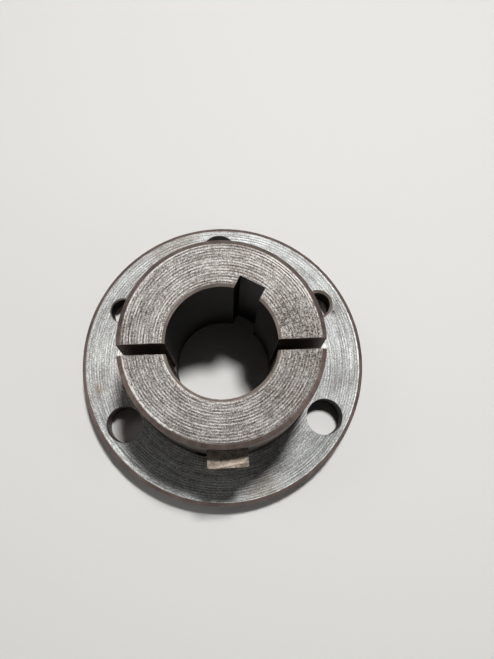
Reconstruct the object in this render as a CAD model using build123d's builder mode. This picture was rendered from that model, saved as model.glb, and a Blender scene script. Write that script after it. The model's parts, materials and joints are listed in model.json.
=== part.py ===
"""Split taper bushing with an external key.

A round flange carries a tapered barrel. Two saw cuts split the barrel from end to end, so that
it closes on the shaft when the taper is drawn into a hub. The underside of the flange lies on
Z = 0, the bore runs along +Z, and the saw cuts lie along X.
"""

import os

from build123d import *

# Flange
flange_thickness = 9.5
flange_rim_margin = 7.15  # from the screw circle out to the flange's rim
flange_chamfer = 1.0

# Tapered barrel, which stands on the flange
barrel_length = 39.7
barrel_large_diameter = 49.6  # where the taper meets the flange
barrel_taper = 1 / 16  # loss of diameter for each unit of length
barrel_chamfer = 1.05
barrel_root_fillet = 0.4  # left by the turning tool between barrel and flange

# Bore and its keyway
bore_diameter = 25.4
bore_chamfer = 0.65
keyway_width = 6.35
keyway_depth = 2.7  # from the bore wall to the flat, on the keyway's centre line
keyway_angle = 61.0

# Saw cuts through both sides of the barrel, made in one pass
slot_width = 2.4
slot_offset = -1.03  # how far the pass misses the axis, on the external key's side

# Screw holes, all on one circle
screw_circle_margin = 6.15  # from the barrel's large end out to the screw circle
clearance_hole_diameter = 9.7
clearance_hole_angles = (90.0, 210.0, 330.0)
tapped_hole_diameter = 6.6  # tapping size, before the thread is cut
tapped_hole_chamfer = 0.7  # at both mouths
tapped_hole_angles = (30.0, 150.0)

# External key, seated in the barrel wall and standing on the flange
key_width = 9.525
key_height = 6.35
key_setback = 8.9  # from the key's end to the barrel's small end
key_projection = 2.9  # how far the key stands out beyond the barrel's large end
key_edge_chamfer = 0.3
key_angle = 271.0
key_clearance = 0.01  # beside the key and past its end

barrel_large_radius = barrel_large_diameter / 2
barrel_small_radius = (barrel_large_diameter - barrel_taper * barrel_length) / 2
screw_circle_radius = barrel_large_radius + screw_circle_margin
flange_radius = screw_circle_radius + flange_rim_margin
bore_radius = bore_diameter / 2
overall_length = flange_thickness + barrel_length
keyway_reach = bore_radius + keyway_depth
key_length = barrel_length - key_setback
key_centre_reach = barrel_large_radius + key_projection - key_height / 2

flange_top = Plane.XY.offset(flange_thickness)
barrel_end = Plane.XY.offset(overall_length)


def circles_of_radius(part, radius):
    """Pick the round edges of one radius."""
    round_edges = part.edges().filter_by(GeomType.CIRCLE)
    return round_edges.filter_by(lambda edge: abs(edge.radius - radius) < 1e-6)


with BuildPart() as bushing:
    with BuildSketch(Plane.XZ) as turned_profile:
        with BuildLine():
            Polyline(
                (bore_radius, 0),
                (flange_radius, 0),
                (flange_radius, flange_thickness),
                (barrel_large_radius, flange_thickness),
                (barrel_small_radius, overall_length),
                (bore_radius, overall_length),
                close=True,
            )
        make_face()
    revolve(axis=Axis.Z)
    fillet(circles_of_radius(bushing, barrel_large_radius), barrel_root_fillet)
    chamfer(circles_of_radius(bushing, barrel_small_radius), barrel_chamfer)
    chamfer(circles_of_radius(bushing, flange_radius), flange_chamfer)
    chamfer(circles_of_radius(bushing, bore_radius), bore_chamfer)

    # Keyway, broached through the whole bore
    with BuildSketch(Plane.XY):
        with PolarLocations(keyway_reach / 2, 1, keyway_angle):
            Rectangle(keyway_reach, keyway_width)
    extrude(amount=overall_length, mode=Mode.SUBTRACT)

    # Saw cuts, from the barrel's small end down to the flange
    with BuildSketch(barrel_end):
        with Locations((0, slot_offset)):
            Rectangle(2 * flange_radius, slot_width)
    extrude(amount=-barrel_length, mode=Mode.SUBTRACT)

    # Clearance holes for the cap screws that draw the bushing into its hub
    with BuildSketch(Plane.XY):
        for angle in clearance_hole_angles:
            with PolarLocations(screw_circle_radius, 1, angle):
                Circle(clearance_hole_diameter / 2)
    extrude(amount=flange_thickness, mode=Mode.SUBTRACT)

    # Tapped holes for the screws that push it out again
    with BuildSketch(Plane.XY):
        for angle in tapped_hole_angles:
            with PolarLocations(screw_circle_radius, 1, angle):
                Circle(tapped_hole_diameter / 2)
    extrude(amount=flange_thickness, mode=Mode.SUBTRACT)
    chamfer(circles_of_radius(bushing, tapped_hole_diameter / 2), tapped_hole_chamfer)

    # Seat for the external key
    with BuildSketch(flange_top):
        with PolarLocations(key_centre_reach, 1, key_angle):
            Rectangle(key_height, key_width + 2 * key_clearance)
    extrude(amount=key_length + key_clearance, mode=Mode.SUBTRACT)

with BuildPart() as external_key:
    with BuildSketch(flange_top):
        with PolarLocations(key_centre_reach, 1, key_angle):
            Rectangle(key_height, key_width)
    extrude(amount=key_length)
    chamfer(external_key.edges().filter_by(Axis.Z), key_edge_chamfer)

bushing.part.label = "bushing"
external_key.part.label = "external_key"

os.makedirs("parts", exist_ok=True)
export_step(bushing.part, "parts/bushing.step")
export_step(external_key.part, "parts/external_key.step")
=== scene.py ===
"""Looks of the split taper bushing: turned grey iron, a cropped steel key and a plain studio."""

import json
import math

import bmesh
import bpy
import numpy as np
from mathutils import Matrix, Vector, noise


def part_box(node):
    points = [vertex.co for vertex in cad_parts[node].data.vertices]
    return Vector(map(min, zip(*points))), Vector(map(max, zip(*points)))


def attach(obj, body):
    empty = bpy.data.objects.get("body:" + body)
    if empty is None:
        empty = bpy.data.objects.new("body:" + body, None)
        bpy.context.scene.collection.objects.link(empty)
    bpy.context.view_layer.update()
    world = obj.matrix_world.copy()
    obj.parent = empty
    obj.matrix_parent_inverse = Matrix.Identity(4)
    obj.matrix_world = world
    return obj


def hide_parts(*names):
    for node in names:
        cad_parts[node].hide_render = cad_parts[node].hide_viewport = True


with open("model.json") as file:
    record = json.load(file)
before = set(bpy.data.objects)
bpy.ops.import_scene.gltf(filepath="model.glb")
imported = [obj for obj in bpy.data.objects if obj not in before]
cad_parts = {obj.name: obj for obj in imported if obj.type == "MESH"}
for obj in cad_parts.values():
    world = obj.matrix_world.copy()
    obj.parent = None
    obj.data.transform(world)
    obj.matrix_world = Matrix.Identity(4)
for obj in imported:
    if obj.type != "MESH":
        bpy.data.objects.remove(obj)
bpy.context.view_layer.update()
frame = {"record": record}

# ---------------------------------------------------------------- sizes, in millimetres

MM = 0.001
body_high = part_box("bushing")[1] / MM
key_low, key_high = (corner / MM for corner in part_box("external_key"))
mounts = {mount["name"]: mount for mount in frame["record"]["mounts"]}

# Sizes that the frame holds
flange_radius = body_high.x
overall_length = body_high.z
flange_thickness = key_low.z
key_end = key_high.z
bore_radius = mounts["bore"]["dims"]["r_mm"]
screw_circle_radius = mounts["cap_screw_holes"]["dims"]["pcd_mm"] / 2
clearance_hole_radius = mounts["cap_screw_holes"]["dims"]["hole_r_mm"]
tapped_hole_radius = mounts["jack_hole_east"]["dims"]["r_mm"]
tapped_hole_chamfer = (flange_thickness - mounts["jack_hole_east"]["dims"]["length_mm"]) / 2

# Sizes of the rest of the bushing and its key
flange_chamfer = 1.0
barrel_large_radius = 24.8
barrel_taper = 1 / 16  # loss of diameter for each unit of length
barrel_chamfer = 1.05
barrel_root_fillet = 0.4
bore_chamfer = 0.65
keyway_width = 6.35
keyway_depth = 2.7
keyway_angle = 61.0
slot_width = 2.4  # of the saw cuts
slot_offset = -1.03
clearance_hole_angles = (90.0, 210.0, 330.0)
tapped_hole_angles = (30.0, 150.0)
tapped_hole_mouths = (tapped_hole_chamfer, 0.3)  # the second hole's countersink is shallow
key_width = 9.525
key_height = 6.35
key_angle = 271.0
key_projection = 2.9  # how far the key stands out beyond the barrel's large end
key_edge_chamfer = 0.3
key_clearance = 0.01

# Sizes that follow from those
barrel_small_radius = barrel_large_radius - barrel_taper * (overall_length - flange_thickness) / 2
key_centre_reach = barrel_large_radius + key_projection - key_height / 2
bore_rim = bore_radius + bore_chamfer  # the radii at which the faced surfaces end
end_rim = barrel_small_radius - barrel_chamfer
flange_rim = flange_radius - flange_chamfer

# Fine detail that the tools and the years leave
edge_break = 0.06
saw_lip_break = 0.13
saw_tear = 0.16  # how far the saw's teeth tore the lips of its cuts
saw_tear_depth = 0.3
saw_tear_shares = {-1: 1.0, 1: 0.35}  # the lip on the -Y side is the rougher one
tears_per_mm = 2.2
end_feed = 0.645  # the facing tool's travel for each turn
flange_feed = 0.67
back_feed = 1.0
end_groove, flange_groove, back_groove = 0.024, 0.008, 0.03
worn_patch = (8.0, 32.0)  # azimuth and half arc of the end's part where the facing lines are rubbed
worn_share = 0.7  # of the groove's depth, gone in the middle of that patch
thread_pitch = 25.4 / 18
thread_major_radius = 7.94 / 2
relief_angle = 254.2
relief_reach = 24.6
relief_depth = 0.45
relief_rise = 0.8

# The key's cropped end, measured outward and across from the key's middle
ridge_reach = 2.63
ridge_slope = -0.135
ridge_width = 0.25
ridge_height = 0.09
swell_height = 0.10
crumb_height = 0.07
least_depth = 0.10
smeared_edge = -3.2  # the shear smeared the side at -X smooth; from here the torn grains begin
smeared_fade = 1.2
broken_outward, broken_across = 2.2, 3.4  # a corner broke away: its inner edge goes through here
broken_slant = 0.8
broken_steepness = 0.35
broken_limit = 0.6

# How finely the meshes are divided, and how far the cutters go
round_steps = 240  # facets of a turned surface
hole_steps = 64
dent_steps = 24
lip_steps = 26  # points along each lip of a saw cut
end_spacing = end_feed / 6  # between the points across a faced surface
flange_spacing = flange_feed / 5
back_spacing = back_feed / 5
key_spacing = 0.16  # between the points of the key's outline
over = 0.5  # how far a cutter starts outside the face that it enters
cut_floor = flange_thickness + 0.02  # where the cuts in the barrel end, just clear of the flange's face

# The finishes, as places in the list of materials that every mesh carries
END, FACE, SIDE, BEVEL, BARE, BORED, SAWN, BROACHED, DRILLED, CROPPED = range(10)
MATERIALS = []

# Dents in the flange's face: x, y, length, width, depth, angle of the length, finish
dents = (
    (30.6, 12.9, 1.4, 0.8, 0.15, 60, END),
    (30.4, 14.7, 0.9, 0.4, 0.12, 20, END),
    (31.9, 16.2, 1.0, 0.3, 0.12, 50, END),
    (-32.0, 13.2, 0.5, 0.4, 0.12, 0, BARE),
    (36.45, -6.45, 0.4, 0.35, 0.1, 0, BARE),
    (11.65, -22.55, 0.8, 0.35, 0.12, 28, DRILLED),
    (16.6, -19.2, 0.9, 0.3, 0.12, 42, DRILLED),
)


# ---------------------------------------------------------------- meshes


def make_object(name, vertices, faces, finishes):
    """A mesh object from points in millimetres, with a finish for each face."""
    mesh = bpy.data.meshes.new(name)
    mesh.from_pydata([[c * MM for c in point] for point in vertices], [], faces)
    for material in MATERIALS:
        mesh.materials.append(material)
    mesh.polygons.foreach_set("material_index", finishes)
    work = bmesh.new()
    work.from_mesh(mesh)
    bmesh.ops.recalc_face_normals(work, faces=work.faces)
    work.to_mesh(mesh)
    work.free()
    piece = bpy.data.objects.new(name, mesh)
    bpy.context.scene.collection.objects.link(piece)
    return piece


def revolved(name, profile, marks):
    """The closed profile of (radius, height, finish up to the next point), turned round Z."""
    steps = np.radians(np.arange(round_steps) * 360 / round_steps)
    vertices = [
        (radius * math.cos(turn), radius * math.sin(turn), height + marks(radius, turn, height))
        for radius, height, _ in profile
        for turn in steps
    ]
    faces, finishes = [], []
    for row, (_, _, finish) in enumerate(profile):
        start, after = row * round_steps, (row + 1) % len(profile) * round_steps
        for step in range(round_steps):
            side = (step + 1) % round_steps
            faces.append((start + step, start + side, after + side, after + step))
            finishes.append(finish)
    return make_object(name, vertices, faces, finishes)


def lofted(name, sections, row_finishes):
    """A closed solid through outlines of (x, y), each at its height, with flat ends."""
    count = len(sections[0][1])
    vertices = [(x, y, height) for height, outline in sections for x, y in outline]
    faces = [tuple(range(count)), tuple(range((len(sections) - 1) * count, len(vertices)))]
    finishes = [row_finishes[0], row_finishes[-1]]
    for row, finish in enumerate(row_finishes):
        for step in range(count):
            side = (step + 1) % count
            low, high = row * count, (row + 1) * count
            faces.append((low + step, low + side, high + side, high + step))
            finishes.append(finish)
    return make_object(name, vertices, faces, finishes)


def grown(outline, amount):
    """An outline, listed anticlockwise, with each side moved out by the amount."""
    result = []
    for index, point in enumerate(outline):
        before = Vector(point) - Vector(outline[index - 1])
        after = Vector(outline[(index + 1) % len(outline)]) - Vector(point)
        out_before = Vector((before.y, -before.x)).normalized()
        out_after = Vector((after.y, -after.x)).normalized()
        mitre = (out_before + out_after) / (1 + out_before.dot(out_after))
        result.append(tuple(Vector(point) + mitre * amount))
    return result


def through_cutter(name, outline, high, size, wall):
    """A cutter from Z = 0 up through a plate, which widens at both of the plate's faces."""
    wide = grown(outline, size + over)
    sections = [(-over, wide), (size, outline), (high - size, outline), (high + over, wide)]
    return lofted(name, sections, [BARE, wall, BARE])


def placed(outline, reach, angle):
    """An outline drawn about a point on the x axis, turned by an angle about the origin."""
    cosine, sine = math.cos(math.radians(angle)), math.sin(math.radians(angle))
    return [
        ((reach + x) * cosine - y * sine, (reach + x) * sine + y * cosine) for x, y in outline
    ]


def moved(outline, x, y):
    return [(px + x, py + y) for px, py in outline]


def circle(radius, steps=hole_steps):
    turns = (math.tau * step / steps for step in range(steps))
    return [(radius * math.cos(turn), radius * math.sin(turn)) for turn in turns]


def rectangle(length, width):
    x, y = length / 2, width / 2
    return [(-x, -y), (x, -y), (x, y), (-x, y)]


def cut(piece, cutter):
    """Takes the cutter's solid away from the piece."""
    modifier = piece.modifiers.new("cut", "BOOLEAN")
    modifier.operation = "DIFFERENCE"
    modifier.solver = "MANIFOLD"
    modifier.object = cutter
    graph = bpy.context.evaluated_depsgraph_get()
    mesh = bpy.data.meshes.new_from_object(piece.evaluated_get(graph))
    piece.modifiers.clear()
    old = piece.data
    piece.data = mesh
    bpy.data.meshes.remove(old)
    bpy.data.objects.remove(cutter)


# ---------------------------------------------------------------- the bushing


def faced(inner, outer, height, spacing, finish, edge):
    """Points across a faced surface, close together for its tool marks. Edge is the finish past it."""
    count = round((outer - inner) / spacing)
    finishes = [finish] * count + [edge]
    return [(inner + (outer - inner) * row / count, height, finishes[row]) for row in range(count + 1)]


def tool_marks(radius, turn, height):
    """How far the facing tool's shallow spiral groove moves a point of the body along Z."""
    marks = {
        overall_length: (end_feed, -end_groove),
        flange_thickness: (flange_feed, -flange_groove),
        0.0: (back_feed, back_groove),
    }
    feed, depth = marks.get(height, (1.0, 0.0))
    if height == overall_length:
        azimuth, arc = np.radians(worn_patch)
        inside = (math.cos(turn - azimuth) - math.cos(arc)) / (1 - math.cos(arc))
        depth *= 1 - worn_share * max(0.0, inside)
    phase = radius / feed + turn / math.tau
    groove = 0.5 - 0.5 * math.cos(math.tau * phase)
    chatter = noise.noise(Vector((3 * math.cos(turn), 3 * math.sin(turn), radius / feed)))
    uneven = 0.7 + 0.5 * chatter  # the tool cuts deeper here and shallower there
    return depth * groove * uneven


def body_profile():
    """Half of the turned body's section, with its edges broken."""
    top, plate, e = overall_length, flange_thickness, edge_break
    slope = (barrel_large_radius - barrel_small_radius) / (top - plate)
    neck = barrel_small_radius + slope * barrel_chamfer
    root = barrel_large_radius
    fillet = [
        (
            root + barrel_root_fillet * (1 - math.cos(turn)),
            plate + barrel_root_fillet * (1 - math.sin(turn)),
            SIDE,
        )
        for turn in np.radians((0, 22.5, 45, 67.5))
    ]
    bore = [
        (bore_rim + e / 2, 0.0, BARE),
        (bore_rim - e / 2, e / 2, BARE),
        (bore_radius, bore_chamfer, BORED),
        (bore_radius, top - bore_chamfer, BARE),
        (bore_rim - e / 2, top - e / 2, BARE),
    ]
    end = faced(bore_rim + e / 2, end_rim - e / 2, top, end_spacing, END, BARE)
    side = [
        (end_rim + e / 2, top - e / 2, BEVEL),
        (neck - e / 2, top - barrel_chamfer + e / 2, BEVEL),
        (neck, top - barrel_chamfer - e / 2, SIDE),
    ]
    face = faced(root + barrel_root_fillet, flange_rim - e / 2, plate, flange_spacing, FACE, BARE)
    rim = [
        (flange_rim + e / 2, plate - e / 2, BEVEL),
        (flange_radius - e / 2, plate - flange_chamfer + e / 2, BEVEL),
        (flange_radius, plate - flange_chamfer - e / 2, SIDE),
        (flange_radius, flange_chamfer + e / 2, BEVEL),
        (flange_radius - e / 2, flange_chamfer - e / 2, BEVEL),
        (flange_rim + e / 2, e / 2, BARE),
    ]
    underside = faced(bore_rim + 3 * e, flange_rim - e / 2, 0.0, back_spacing, FACE, FACE)
    return bore + end + side + fillet + face + rim + underside[::-1]


def barrel_radius(height):
    """The barrel's radius at a height, its end chamfer included."""
    along = overall_length - height
    radius = barrel_small_radius + barrel_taper / 2 * along
    return radius - max(0.0, barrel_chamfer - along)


def saw_cut_half(half, height, widen, rough):
    """One saw cut's outline at a height: it opens a little at the bore and at the barrel's side."""
    e, outside = edge_break, barrel_radius(height)
    run = over + e
    lips = []
    for side, tear in saw_tear_shares.items():
        y = slot_offset + side * (slot_width / 2 + widen)
        out = math.sqrt(outside**2 - y**2) - e
        inner = math.sqrt(bore_radius**2 - y**2) + e
        lip = [(out + run, y + side * run)]
        for x in np.linspace(out, inner, lip_steps):  # 7.3 and 3.1 pick a place in the noise
            tooth = noise.noise(Vector((half * x * tears_per_mm, 7.3 * side, 3.1)))
            lip.append((x, y + side * tear * rough * tooth))
        lip.append((inner - run, y + side * run))
        lips.append(lip)
    outline = lips[0][::-1] + lips[1]
    return [(half * x, y) for x, y in outline]


def saw_cutter(half):
    """The saw cut on one side of the bore: 1 stands for +X and -1 for -X."""
    top = overall_length
    levels = (  # height, widening, roughness of the lips
        (cut_floor, 0.0, 0.0),
        (top - barrel_chamfer, 0.0, 0.0),
        (top - saw_tear_depth, 0.0, 0.0),
        (top - saw_lip_break, 0.0, saw_tear),
        (top + over, saw_lip_break + over, saw_tear),
    )
    sections = [
        (height, saw_cut_half(half, min(height, top), widen, rough)) for height, widen, rough in levels
    ]
    return lofted("saw_cutter", sections, [SAWN, SAWN, SAWN, BARE])


def keyway_cutter():
    """The broached keyway, its edges at the bore broken."""
    half, e = keyway_width / 2, edge_break
    keyway_reach = bore_radius + keyway_depth
    wall = math.sqrt(bore_radius**2 - half**2)
    run = e + over
    outline = [
        (bore_radius / 2, -half - run),
        (wall + e - run, -half - run),
        (wall + e, -half),
        (keyway_reach, -half),
        (keyway_reach, half),
        (wall + e, half),
        (wall + e - run, half + run),
        (bore_radius / 2, half + run),
    ]
    outline = placed(outline, 0, keyway_angle)
    return through_cutter("keyway_cutter", outline, overall_length, e, BROACHED)


def key_seat_cutter():
    """The seat of the external key in the barrel's wall."""
    section = rectangle(key_height, key_width + 2 * key_clearance)
    outline = placed(section, key_centre_reach, key_angle)
    sections = [(cut_floor, outline), (key_end + key_clearance, outline)]
    return lofted("key_seat_cutter", sections, [BROACHED])


def hole_cutter(radius, size, angle, wall):
    """A hole on the screw circle, with mouths chamfered by the size."""
    outline = placed(circle(radius), screw_circle_radius, angle)
    return through_cutter("hole_cutter", outline, flange_thickness, size, wall)


def dent_cutter(x, y, length, width, depth, angle, finish):
    """A shallow ragged dish in the flange's top face."""
    raggedness, flare = 0.3, 1.2
    rim = [
        (px * length * (1 + raggedness * noise.noise(Vector((px * 3, py * 3, x)))), py * width)
        for px, py in circle(0.5, dent_steps)
    ]

    def section(height, size):
        outline = placed([(px * size, py * size) for px, py in rim], 0, angle)
        return height, moved(outline, x, y)

    sections = [
        section(flange_thickness - depth * math.cos(turn), math.sin(turn))
        for turn in np.radians((12, 35, 60, 80))
    ]
    sections.append(section(flange_thickness + over, flare))
    return lofted("dent_cutter", sections, [finish] * (len(sections) - 1))


def relief_cutter():
    """The small relief at the barrel's root, beside the key, its walls painted black as shade."""
    corners = [(-0.7, -1.3), (0.45, -1.45), (0.75, -0.9), (0.8, 1.5), (-0.7, 1.6)]
    outline = placed(corners, relief_reach, relief_angle)
    sections = [(flange_thickness - relief_depth, outline), (flange_thickness + relief_rise, outline)]
    # Black bored finish: painted shade in the corner beside the key
    return lofted("relief_cutter", sections, [BORED])


def thread_cutter(angle):
    """The thread's groove: a rod whose ridge winds round it and runs out below the hole's mouths."""
    inner = tapped_hole_radius - 0.15  # where the rod has run out, it cuts nothing
    crest = tapped_hole_radius + 0.03  # between the grooves, just outside the drilled wall
    lay = (  # share of a pitch, radius
        (0.0, thread_major_radius),
        (0.14, thread_major_radius),
        (0.48, crest),
        (0.66, crest),
    )
    spare = 2  # turns beyond each of the flange's faces
    turns = math.ceil(flange_thickness / thread_pitch) + 2 * spare
    steps, rows = 48, turns * len(lay)
    bottom = -spare * thread_pitch
    vertices = []
    for row in range(rows + 1):
        share, radius = lay[row % len(lay)]
        for step in range(steps):
            turn = math.tau * step / steps
            height = bottom + thread_pitch * (row // len(lay) + share + step / steps)
            inside = min(height, flange_thickness - height) - tapped_hole_chamfer
            reach = inner + (radius - inner) * max(0.0, min(1.0, inside))
            vertices.append((reach * math.cos(turn), reach * math.sin(turn), height))
    faces = []
    for row in range(rows):
        for step in range(steps - 1):
            low, high = row * steps + step, (row + 1) * steps + step
            faces.append((low, low + 1, high + 1, high))
    for row in range(rows - len(lay)):  # the last column joins the first, one pitch on
        low, high = row * steps + steps - 1, (row + 1) * steps + steps - 1
        next_low, next_high = (row + len(lay)) * steps, (row + len(lay) + 1) * steps
        faces.append((low, next_low, next_high, high))
    first = list(range(steps)) + [row * steps for row in range(len(lay), 0, -1)]
    last = list(range(rows * steps, (rows + 1) * steps))
    last += [row * steps + steps - 1 for row in range(rows - 1, rows - len(lay) - 1, -1)]
    tips = (first, bottom - thread_pitch), (last, bottom + thread_pitch * (turns + 2))
    for ring, height in tips:
        vertices.append((0, 0, height))
        tip = len(vertices) - 1
        faces += [(tip, ring[i - 1], ring[i]) for i in range(len(ring))]
    ((x, y),) = placed([(0, 0)], screw_circle_radius, angle)
    vertices = [(px + x, py + y, height) for px, py, height in vertices]
    return make_object("thread_cutter", vertices, faces, [BORED] * len(faces))


def make_bushing():
    """The turned body, less all that the cutters take away. Two of its holes, which the lamp lights,
    are painted lighter inside; the others are painted black as shade.
    """
    body = revolved("bushing_body", body_profile(), tool_marks)
    cut(body, keyway_cutter())
    for half in (1, -1):
        cut(body, saw_cutter(half))
    cut(body, key_seat_cutter())
    # The lit clearance hole takes the lighter drilled finish and the shaded ones the black bored
    # finish: painted light and painted shade
    for angle, wall in zip(clearance_hole_angles, (BORED, DRILLED, BORED)):
        cut(body, hole_cutter(clearance_hole_radius, edge_break, angle, wall))
    # Likewise the lit tapped hole's wall is painted lighter and the other's black; both threads are
    # painted black as shade
    for angle, size, wall in zip(tapped_hole_angles, tapped_hole_mouths, (BORED, DRILLED)):
        cut(body, hole_cutter(tapped_hole_radius, size, angle, wall))
        cut(body, thread_cutter(angle))
    cut(body, relief_cutter())
    for dent in dents:
        cut(body, dent_cutter(*dent))
    return body


# ---------------------------------------------------------------- the key


def key_outline():
    """The key's section, with its corners cut, as evenly spaced points."""
    x, y, c = key_height / 2, key_width / 2, key_edge_chamfer
    corners = [
        (-x + c, -y), (x - c, -y), (x, -y + c), (x, y - c),
        (x - c, y), (-x + c, y), (-x, y - c), (-x, -y + c),
    ]
    points = []
    for start, end in zip(corners, corners[1:] + corners[:1]):
        count = max(1, round(math.dist(start, end) / key_spacing))
        points += [tuple(Vector(start).lerp(Vector(end), step / count)) for step in range(count)]
    return points


def cropped_depth(outward, across):
    """How far the key's cropped end lies below its highest point."""

    def rough(fineness, seed, fading, lacunarity=2.1, octaves=3):
        point = Vector((outward * fineness, across * fineness, seed))
        return 0.5 + 0.5 * noise.fractal(point, fading, lacunarity, octaves)

    swell = rough(0.8, 3.7, 0.9)
    crumbs = rough(4, 8.1, 0.7)
    ridge = math.exp(-(((outward - ridge_reach - ridge_slope * across) / ridge_width) ** 2))
    torn = min(1.0, max(0.0, (across - smeared_edge) / smeared_fade))
    low = swell_height * swell + torn * (crumb_height * crumbs - ridge_height * ridge) + least_depth
    broken = max(0.0, outward - broken_outward + broken_slant * (across - broken_across))
    return max(0.0, min(broken_limit, low + broken_steepness * broken))


def make_key():
    """The key in rings: from the rim of its cropped end to the middle, and from that rim down."""
    outline = key_outline()
    count = len(outline)
    end_rings, crowding = 20, 1.3  # the rings of the end crowd toward its rim
    wall_levels = (0.15, 0.4, 1.0, 3.0, 8.0, 14.0, 20.0, 25.0, key_end - flange_thickness)
    wall_gap = 0.05  # at least this far below the end for each ring of the wall
    vertices, faces = [], []

    def add_ring(points):
        vertices.extend(points)
        return len(vertices) - count

    def join(low, high):
        for step in range(count):
            side = (step + 1) % count
            faces.append((low + step, low + side, high + side, high + step))

    end = []
    for ring in range(end_rings, 0, -1):
        share = 1 - (1 - ring / end_rings) ** crowding
        points = [(x * share, y * share) for x, y in outline]
        end.append(add_ring([(x, y, key_end - cropped_depth(x, y)) for x, y in points]))
    walls = end[:1]
    for number, level in enumerate(wall_levels, 1):
        limits = [key_end - cropped_depth(x, y) - wall_gap * number for x, y in outline]
        walls.append(add_ring([
            (x, y, min(key_end - level, limit)) for (x, y), limit in zip(outline, limits)
        ]))
    for column in (end, walls):
        for low, high in zip(column, column[1:]):
            join(low, high)
    vertices.append((0, 0, key_end - cropped_depth(0, 0)))
    middle = len(vertices) - 1
    faces += [(middle, end[-1] + step, end[-1] + (step + 1) % count) for step in range(count)]
    faces.append(tuple(range(walls[-1], walls[-1] + count)))
    turned = placed([(x, y) for x, y, _ in vertices], key_centre_reach, key_angle)
    vertices = [(x, y, z) for (x, y), (_, _, z) in zip(turned, vertices)]
    return make_object("cropped_key", vertices, faces, [CROPPED] * len(faces))


# ---------------------------------------------------------------- materials


class Surface:
    """A node material under construction."""

    def __init__(self, name):
        self.material = bpy.data.materials.new(name)
        self.material.use_nodes = True
        self.tree = self.material.node_tree
        self.shader = self.tree.nodes["Principled BSDF"]

    def node(self, kind, inputs=(), **settings):
        """A new node, with a value or another node's output for each of its inputs."""
        made = self.tree.nodes.new("ShaderNode" + kind)
        for key, value in settings.items():
            setattr(made, key, value)
        for key, value in dict(inputs).items():
            self.feed(made.inputs[key], value)
        return made

    def feed(self, socket, value):
        if isinstance(value, bpy.types.NodeSocket):
            self.tree.links.new(value, socket)
        else:
            socket.default_value = value

    def math(self, operation, first, second=0.0, third=0.0):
        made = self.node("Math", {0: first, 1: second, 2: third}, operation=operation)
        return made.outputs[0]

    def spread(self, value, low, high, to_low=0.0, to_high=1.0):
        """A value brought from one range to another, and held within it."""
        ends = {"From Min": low, "From Max": high, "To Min": to_low, "To Max": to_high}
        return self.node("MapRange", {"Value": value, **ends}, clamp=True).outputs[0]

    def mix(self, share, first, second, blend="MIX"):
        """Two colours mixed. The node's sockets have to be given by number."""
        made = self.node("Mix", data_type="RGBA", blend_type=blend)
        self.feed(made.inputs[0], share)
        self.feed(made.inputs[6], first)
        self.feed(made.inputs[7], second)
        return made.outputs[2]

    def noise(self, vector, scale, detail=2.0, roughness=0.5):
        inputs = {"Vector": vector, "Scale": scale, "Detail": detail, "Roughness": roughness}
        return self.node("TexNoise", inputs).outputs["Fac"]

    def patterned(self, tone, patterns):
        """A tone that each pattern raises and lowers by its strength."""
        for pattern, strength in patterns:
            tone = self.math("MULTIPLY_ADD", self.math("SUBTRACT", pattern, 0.5), strength, tone)
        return tone

    def position(self):
        """Where the point is, in millimetres."""
        coordinates = self.node("TexCoord").outputs["Object"]
        return self.node("VectorMath", {0: coordinates, 3: 1 / MM}, operation="SCALE").outputs[0]

    def raised(self, pattern, relief):
        """The normal of a surface on which the pattern stands up by the relief, in millimetres."""
        inputs = {"Strength": 1.0, "Distance": relief * MM, "Height": pattern}
        return self.node("Bump", inputs).outputs[0]

    def set(self, **values):
        for key, value in values.items():
            self.feed(self.shader.inputs[key.replace("_", " ").title()], value)


class Lay:
    """The turned body's own coordinates, in millimetres: round the axis, out from it and along it."""

    def __init__(self, surface, place):
        self.surface = surface
        split = surface.node("SeparateXYZ", {0: place})
        flat = surface.node("CombineXYZ", {0: split.outputs[0], 1: split.outputs[1]}).outputs[0]
        self.height = split.outputs[2]
        self.radius = surface.node("VectorMath", {0: flat}, operation="LENGTH").outputs["Value"]
        self.direction = surface.node("VectorMath", {0: flat}, operation="NORMALIZE").outputs[0]
        angle = surface.math("ARCTAN2", split.outputs[1], split.outputs[0])
        self.turns = surface.math("DIVIDE", angle, math.tau)

    def streaks(self, along, across, rise=0.0, detail=2.0):
        """Noise that changes slowly along the tool's path and quickly across it."""
        s = self.surface
        scaled = s.node("VectorMath", {0: self.direction, 3: along}, operation="SCALE").outputs[0]
        split = s.node("SeparateXYZ", {0: scaled})
        depth = s.math("MULTIPLY_ADD", self.height, rise, s.math("MULTIPLY", self.radius, across))
        stretched = s.node("CombineXYZ", {0: split.outputs[0], 1: split.outputs[1], 2: depth})
        return s.noise(stretched.outputs[0], 1.0, detail, 0.6)

    def crests(self, feed):
        """From 0 in the spiral groove of a facing tool to 1 on the crest beside it."""
        s = self.surface
        phase = s.math("ADD", s.math("DIVIDE", self.radius, feed), self.turns)
        wave = s.math("COSINE", s.math("MULTIPLY", phase, math.tau))
        return s.math("POWER", s.math("MULTIPLY_ADD", wave, 0.5, 0.5), 2.0)

    def facing(self, azimuth, arc):
        """1 at an azimuth, fading to 0 at the arc's angle on both sides of it."""
        toward = (math.cos(math.radians(azimuth)), math.sin(math.radians(azimuth)), 0)
        dot = self.surface.node("VectorMath", {0: self.direction, 1: toward}, operation="DOT_PRODUCT")
        return self.surface.spread(dot.outputs["Value"], math.cos(math.radians(arc)), 1.0)

    def near(self, radius, reach):
        """1 at a radius, fading to 0 at the reach on both sides of it."""
        away = self.surface.math("ABSOLUTE", self.surface.math("SUBTRACT", self.radius, radius))
        return self.surface.spread(away, 0.0, reach, 1.0, 0.0)


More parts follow.
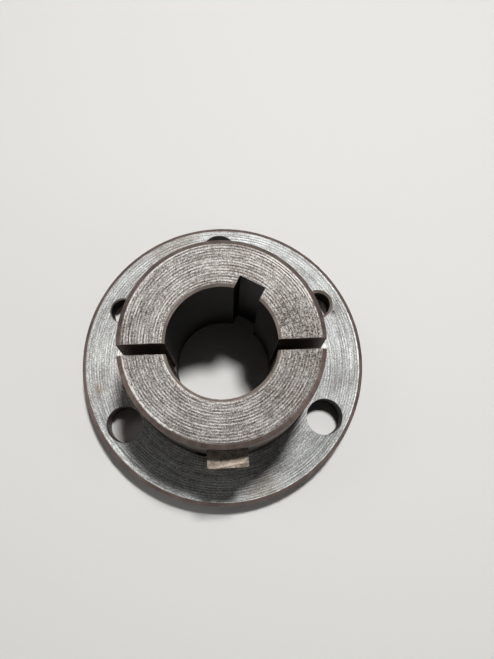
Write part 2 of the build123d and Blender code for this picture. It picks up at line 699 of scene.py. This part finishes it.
def with_painted_light_lines(surface, lay, tone, scratches, lines):
    """The tone with lighter and darker lines round the axis, broken up by the scratches: painted
    highlights and painted shade, with some wear.
    """
    for radius, reach, azimuth, arc, strength in lines:
        near = lay.near(radius, reach)
        line = surface.math("MULTIPLY", near, surface.spread(scratches, 0.4, 0.6, 0.1, strength))
        line = surface.math("MULTIPLY", line, lay.facing(azimuth, arc))
        tone = surface.math("ADD", tone, line)
    return tone


def with_stains_and_painted_light(surface, place, colour, film, height, stains_and_painted_light):
    """The colour with spots of other shades, stains and painted light and shade among them, which the
    film makes ragged.
    """
    uneven = surface.math("SUBTRACT", film, 0.5)
    for (x, y), reach, shade in stains_and_painted_light:
        away = surface.node("VectorMath", {0: place, 1: (x, y, height)}, operation="DISTANCE")
        ragged = surface.math("MULTIPLY_ADD", uneven, reach, away.outputs["Value"])
        share = surface.spread(ragged, reach * 0.3, reach, 1.0, 0.0)
        colour = surface.mix(share, colour, shade, "MULTIPLY")
    return colour


def faced_iron(
    name, dark, light, height, feed, ring, scratch, long_scratch, grain, glint, gloss, lines, stains_and_painted_light,
    rubbed=None,
):
    """A faced surface: spiral crests in broken lines, scratches along them, grains, old stains, and
    spots and lines of painted light and shade.

    Ring, scratch, long_scratch and grain are the strengths of these patterns, and glint is that of
    the light on the crests. In a rubbed patch the lines fade and the grains stand out.
    """
    s = Surface(name)
    place = s.position()
    lay = Lay(s, place)
    crests = lay.crests(feed)
    crest_mean = 3 / 8
    breaks = s.spread(lay.streaks(4.0, 0.9 / feed), 0.36, 0.64, 0.1, 1.9)
    rings = s.math("MULTIPLY", s.math("SUBTRACT", crests, crest_mean), breaks)
    if rubbed:
        lost, roughened, blotched = 0.55, 0.5, 1.3
        patch = lay.facing(*rubbed)
        left = s.math("MULTIPLY_ADD", patch, -lost, 1.0)
        rings = s.math("MULTIPLY", rings, left)
        long_scratch = s.math("MULTIPLY", left, long_scratch)
        grain = s.math("MULTIPLY_ADD", patch, roughened * grain, grain)
    scratches = lay.streaks(24.0, 2.8)
    long_scratches = lay.streaks(3.4, 2.6)
    grains = s.noise(place, 4.4, 2.0, 0.7)
    blotches = s.noise(place, 1.9, 3.0, 0.65)
    pores = s.spread(blotches, 0.30, 0.35, -0.12, 0.0)
    film = s.noise(place, 0.12, 3.0, 0.6)
    tone = s.math("MULTIPLY_ADD", rings, ring, 0.6)
    patterns = [(scratches, scratch), (long_scratches, long_scratch), (grains, grain), (film, 0.3)]
    if rubbed:
        patterns.append((blotches, s.math("MULTIPLY", patch, blotched)))
    tone = s.patterned(tone, patterns)
    tone = s.math("ADD", tone, pores)
    # The crests lighter: partly burnished wear, partly painted glints of light
    burnished_and_painted_glint = s.math("MULTIPLY", crests, s.spread(scratches, 0.5, 0.68, 0.0, glint))
    tone = s.math("ADD", tone, burnished_and_painted_glint)
    tone = with_painted_light_lines(s, lay, tone, scratches, lines)
    share = s.math("POWER", s.spread(tone, 0.0, 1.1, 0.0, 1.1), 2.0)
    colour = with_stains_and_painted_light(s, place, s.mix(share, dark, light), film, height, stains_and_painted_light)
    normal = s.raised(s.math("MULTIPLY_ADD", grains, 0.6, scratches), 0.02)
    roughness = s.spread(grains, 0.3, 0.7, gloss - 0.05, gloss + 0.05)
    s.set(base_color=colour, metallic=0.85, roughness=roughness, normal=normal)
    return s.material


def worked_iron(name, dark, light, lay_scales, gloss, relief=0.012, metallic=0.85):
    """A turned, bored, sawn or drilled wall: lines that follow the tool under a film of oil and age.

    The lay's scales say how fine its lines are round the axis, out from it and along it.
    """
    s = Surface(name)
    place = s.position()
    lines = Lay(s, place).streaks(*lay_scales, detail=3.0)
    grains = s.noise(place, 3.6, 3.0, 0.7)
    film = s.noise(place, 0.16, 3.0, 0.6)
    tone = s.patterned(0.45, ((lines, 1.1), (grains, 1.0), (film, 0.9)))
    colour = s.mix(s.spread(tone, 0.0, 1.0), dark, light)
    normal = s.raised(s.math("MULTIPLY_ADD", grains, 0.6, lines), relief)
    roughness = s.spread(grains, 0.3, 0.7, gloss - 0.06, gloss + 0.1)
    s.set(base_color=colour, metallic=metallic, roughness=roughness, normal=normal)
    return s.material


def key_steel():
    """Torn grains on the cropped end, a ridge across it that is polished and painted with a highlight,
    and a side that is smeared smooth.
    """
    s = Surface("cropped_steel")
    place = s.position()
    patch = s.noise(place, 0.5, 3.0, 0.6)
    grain = s.noise(place, 3.4, 3.0, 0.75)
    split = s.node("SeparateXYZ", {0: place})
    across, y = split.outputs[0], split.outputs[1]
    contrast = s.spread(across, smeared_edge, -1.6, 0.8, 1.9)
    tone = s.patterned(patch, [(grain, contrast)])
    along_ridge = s.math("MULTIPLY_ADD", across, ridge_slope, y)
    off_ridge = s.math("ABSOLUTE", s.math("ADD", along_ridge, key_centre_reach + ridge_reach))
    # The ridge lighter: partly polish, partly a painted highlight
    polish_and_painted_highlight = s.math("MULTIPLY", s.spread(off_ridge, 0.0, 0.3, 0.5, 0.0), s.spread(across, -2.6, -1.2))
    tone = s.math("ADD", tone, polish_and_painted_highlight)
    colour = s.mix(s.spread(tone, 0.2, 0.8), (0.13, 0.10, 0.078, 1), (0.43, 0.365, 0.305, 1))
    s.set(base_color=colour, metallic=0.45, roughness=0.6, normal=s.raised(grain, 0.02))
    return s.material


# Lines round the axis: painted highlights and painted shade where the lamps catch the rims; the
# flange's line all round is partly wear. Columns: radius, reach, azimuth, half arc, strength
end_painted_light_lines = (
    (bore_rim + 0.1, 0.16, 215, 90, 0.5),
    (bore_rim + 0.12, 0.22, 203, 42, 1.5),
    (end_rim - 0.33, 0.4, 212, 34, 1.4),
    (end_rim - 0.3, 0.5, 75, 32, -0.4),
    (end_rim - 0.3, 0.5, 140, 30, 0.25),
    (end_rim - 0.3, 0.5, 300, 62, -0.3),
    (end_rim - 0.25, 0.2, 35, 40, 1.6),
    (end_rim - 0.5, 0.14, 38, 36, -0.9),
    (end_rim - 0.75, 0.15, 38, 30, 1.3),
    (end_rim - 1.0, 0.14, 40, 28, -0.8),
    (end_rim - 1.25, 0.15, 40, 24, 0.9),
)
flange_painted_light_lines = (
    (flange_rim - 0.1, 0.16, 0, 180, 0.45),
    # Painted light on the flange's rim where the barrel's shadow ends
    (flange_rim - 0.35, 0.24, 233, 42, 0.6),
    (flange_rim - 1.05, 0.3, 229, 36, 0.5),
)

# Spots of another shade: (x, y), reach, shade. The end's two darken it toward +X. On the flange two are
# oil, one is a smudge by the dents and one is rust; the broad rest are painted shade and painted light
# that even out its brightness, and the last two, at the saw cuts' mouths, are painted highlights.
end_darker_patches = (
    ((17, -8), 15, (0.74, 0.73, 0.72, 1)),
    ((18, 7), 12, (0.78, 0.77, 0.76, 1)),
)
flange_stains_and_painted_light = (
    ((-13, 34), 10, (0.84, 0.79, 0.76, 1)),
    ((10, -34), 7, (0.84, 0.79, 0.76, 1)),
    # Broad painted shade and painted light that even out the flange's brightness
    ((24, -26), 15, (0.80, 0.81, 0.81, 1)),
    ((30.5, -5), 7, (0.87, 0.87, 0.87, 1)),
    ((-34.5, 1), 13, (1.11, 1.10, 1.09, 1)),
    ((35, 7), 15, (0.95, 0.95, 0.95, 1)),
    ((25, 25), 10, (0.90, 0.90, 0.90, 1)),
    ((30.9, 14.3), 2.4, (0.66, 0.66, 0.66, 1)),
    ((-33.3, -5.7), 1.7, (0.86, 0.78, 0.72, 1)),
    # Painted highlights at the saw cuts' mouths
    ((-27.5, 3.7), 1.6, (1.75, 1.7, 1.67, 1)),
    ((27.8, 3.8), 1.6, (1.38, 1.34, 1.32, 1)),
)


def make_materials():
    """One material for each finish, in the order of their numbers."""
    # Each pair is a finish's darkest and lightest colour
    warm = (0.030, 0.017, 0.013, 1), (0.502, 0.491, 0.479, 1)
    cool = (0.056, 0.037, 0.032, 1), (0.825, 0.872, 0.871, 1)
    # The warm brown of the side and the bevels is partly dark oxide, partly a painted reflection of
    # warm surroundings
    brown = (0.03, 0.021, 0.018, 1), (0.10, 0.070, 0.062, 1)
    bevel = (0.088, 0.064, 0.057, 1), (0.285, 0.215, 0.19, 1)
    bare = (0.13, 0.107, 0.092, 1), (0.45, 0.385, 0.34, 1)
    # Nearly black: partly oxide, mostly painted shade inside the bore, the keyway and the holes in
    # shade
    painted_shade_black = (0.012, 0.009, 0.008, 1), (0.045, 0.036, 0.033, 1)
    sawn = (0.036, 0.022, 0.019, 1), (0.16, 0.10, 0.088, 1)
    # Lighter: painted light on the walls of the holes that the lamp lights, and also the colour of the
    # pits at the barrel's root
    drilled = (0.07, 0.055, 0.048, 1), (0.29, 0.23, 0.20, 1)
    return [
        faced_iron(
            "turned_end", *warm, height=overall_length, feed=end_feed,
            ring=0.23, scratch=0.5, long_scratch=0.85, grain=1.7, glint=0.18, gloss=0.60,
            lines=end_painted_light_lines, stains_and_painted_light=end_darker_patches, rubbed=worn_patch,
        ),
        faced_iron(
            "turned_flange", *cool, height=flange_thickness, feed=flange_feed,
            ring=0.11, scratch=0.25, long_scratch=0.58, grain=1.35, glint=0.12, gloss=0.62,
            lines=flange_painted_light_lines, stains_and_painted_light=flange_stains_and_painted_light,
        ),
        worked_iron("turned_side", *brown, (8.0, 0.0, 4.0), 0.36),
        worked_iron("turned_bevel", *bevel, (12.0, 3.0, 3.0), 0.45),
        worked_iron("bare_edge", *bare, (12.0, 3.0, 3.0), 0.5, metallic=0.4),
        worked_iron("bored_wall", *painted_shade_black, (6.0, 0.0, 3.0), 0.62, metallic=0.6),
        worked_iron("sawn_wall", *sawn, (1.0, 3.0, 0.5), 0.45, relief=0.02, metallic=0.5),
        worked_iron("broached_wall", *painted_shade_black, (30.0, 3.0, 0.2), 0.45, relief=0.015),
        worked_iron("drilled_wall", *drilled, (1.0, 1.0, 3.0), 0.45, relief=0.015, metallic=0.4),
        key_steel(),
    ]


# ---------------------------------------------------------------- studio


def floor_material():
    """Matt and pale. Far from the object it looks evenly bright, as a lit backdrop does."""
    s = Surface("pale_floor")
    pale = (0.78, 0.78, 0.77, 1)
    s.set(base_color=pale, roughness=0.8)
    place = s.node("TexCoord").outputs["Object"]
    away = s.node("VectorMath", {0: place}, operation="LENGTH").outputs["Value"]
    rays = s.node("LightPath").outputs
    seen = s.math("MAXIMUM", rays["Is Camera Ray"], rays["Is Glossy Ray"])
    seen = s.math("MAXIMUM", seen, rays["Is Transmission Ray"])
    share = s.math("MULTIPLY", seen, s.spread(away, 0.16, 0.5))  # metres from the origin
    backdrop = s.node("Emission", {"Color": pale, "Strength": 0.65})
    mixed = s.node("MixShader", {0: share, 1: s.shader.outputs[0], 2: backdrop.outputs[0]})
    s.feed(s.tree.nodes["Material Output"].inputs["Surface"], mixed.outputs[0])
    return s.material


def make_floor():
    """A pale floor that curves up into a wall far off, all round. Its sizes are in metres."""
    reach, curve, wall = 0.9, 0.35, 0.5
    section = [(0.0, 0.0), (reach, 0.0)]
    section += [
        (reach + curve * math.sin(turn), curve * (1 - math.cos(turn)))
        for turn in np.radians(np.arange(10, 91, 10))
    ]
    section.append((reach + curve, curve + wall))
    steps = 96
    vertices = [(0, 0, 0)]
    for radius, height in section[1:]:
        vertices += [(x, y, height) for x, y in circle(radius, steps)]
    faces = [(0, 1 + i, 1 + (i + 1) % steps) for i in range(steps)]
    for row in range(len(section) - 2):
        low, high = 1 + row * steps, 1 + (row + 1) * steps
        faces += [
            (low + i, low + (i + 1) % steps, high + (i + 1) % steps, high + i) for i in range(steps)
        ]
    mesh = bpy.data.meshes.new("floor")
    mesh.from_pydata(vertices, [], faces)
    mesh.shade_smooth()
    floor = bpy.data.objects.new("floor", mesh)
    bpy.context.scene.collection.objects.link(floor)
    mesh.materials.append(floor_material())


def area_light(name, place, size, power, colour):
    """A round soft lamp that faces the origin. Its place is in metres."""
    data = bpy.data.lights.new(name, "AREA")
    data.shape = "DISK"
    data.size = size
    data.energy = power
    data.color = colour
    lamp = bpy.data.objects.new(name, data)
    lamp.location = place
    lamp.rotation_euler = Vector(place).to_track_quat("Z", "Y").to_euler()
    bpy.context.scene.collection.objects.link(lamp)


def from_above(azimuth, tilt):
    """The direction to something at an azimuth, tilted that far off the vertical."""
    azimuth, tilt = math.radians(azimuth), math.radians(tilt)
    flat = math.sin(tilt)
    return Vector((flat * math.cos(azimuth), flat * math.sin(azimuth), math.cos(tilt)))


def make_lights():
    """A small strong lamp nearly overhead, three wide weak ones and a faint glow all round."""
    lamps = (  # name, azimuth, tilt, distance and size in metres, power in watts, colour
        ("key_light", 68, 16.5, 0.78, 0.075, 5.2, (1.0, 0.985, 0.96)),
        ("fill_light", 150, 30, 1.2, 0.3, 0.5, (1.0, 0.98, 0.96)),
        ("side_light", -25, 70, 1.0, 0.5, 0.9, (1.0, 0.97, 0.93)),
        ("low_light", 190, 80, 1.0, 0.3, 0.75, (1.0, 0.96, 0.93)),
    )
    for name, azimuth, tilt, distance, size, power, colour in lamps:
        area_light(name, from_above(azimuth, tilt) * distance, size, power, colour)
    world = bpy.data.worlds.new("studio")
    world.use_nodes = True
    glow = world.node_tree.nodes["Background"].inputs
    glow["Color"].default_value = (1.0, 0.98, 0.96, 1)
    glow["Strength"].default_value = 0.032
    bpy.context.scene.world = world


def make_camera():
    """The camera looks down on the barrel's end, a little from the external key's side."""
    azimuth, tilt, roll = -10.1, 9.45, 7.9
    aim = Vector((6.891, 9.091, flange_thickness)) * MM
    distance = 215.3 * MM
    back = from_above(azimuth - 90, tilt)
    data = bpy.data.cameras.new("camera")
    data.sensor_width = 36
    data.lens = 42.97
    data.clip_start = 0.01
    camera = bpy.data.objects.new("camera", data)
    level = Vector((math.cos(math.radians(azimuth)), math.sin(math.radians(azimuth)), 0))
    up = back.cross(level)
    turn = math.radians(roll)
    right = level * math.cos(turn) + up * math.sin(turn)
    up = up * math.cos(turn) - level * math.sin(turn)
    turned = Matrix((right, up, back)).transposed()
    camera.matrix_world = Matrix.Translation(aim + back * distance) @ turned.to_4x4()
    bpy.context.scene.collection.objects.link(camera)
    bpy.context.scene.camera = camera


# ---------------------------------------------------------------- the whole


def finish_edges(piece, angle):
    """Smooth shading, with the edges sharper than the angle, in degrees, left crisp."""
    piece.data.shade_smooth()
    piece.data.set_sharp_from_angle(angle=math.radians(angle))


MATERIALS += make_materials()
bushing = make_bushing()
finish_edges(bushing, 9)
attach(bushing, "root")
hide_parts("bushing")

key = make_key()
finish_edges(key, 35)
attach(key, "root")
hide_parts("external_key")

make_floor()
make_lights()
make_camera()
bpy.context.scene.view_settings.view_transform = "Standard"
